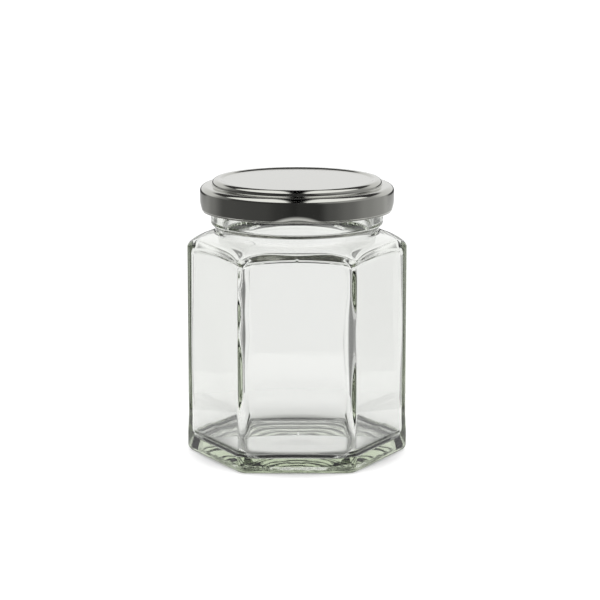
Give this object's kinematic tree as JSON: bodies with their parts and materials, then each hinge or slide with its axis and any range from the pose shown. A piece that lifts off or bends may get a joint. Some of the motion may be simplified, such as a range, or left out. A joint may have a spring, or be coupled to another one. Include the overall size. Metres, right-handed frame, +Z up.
{
  "type": "hexagonal glass jar",
  "caption": "Empty clear glass jar with a hexagonal body, sloping shoulder and round neck, closed by a silver metal twist-off lid.",
  "frame": {"origin": "middle of the base, on the surface that the jar stands on", "axes": "+Z up along the jar's axis, -Y out of the flat side that faces the viewer, +X through a corner of the hexagon"},
  "size_m": [0.0694, 0.061, 0.0872],
  "materials": {
    "glass": "clear pressed and blown soda-lime glass with a faint green-grey edge colour",
    "tinplate": "bright tinplate under a clear silver lacquer, smooth and glossy"
  },
  "bodies": {
    "root": {"jar_glass": "glass", "lid": "tinplate"}
  },
  "joints": []
}
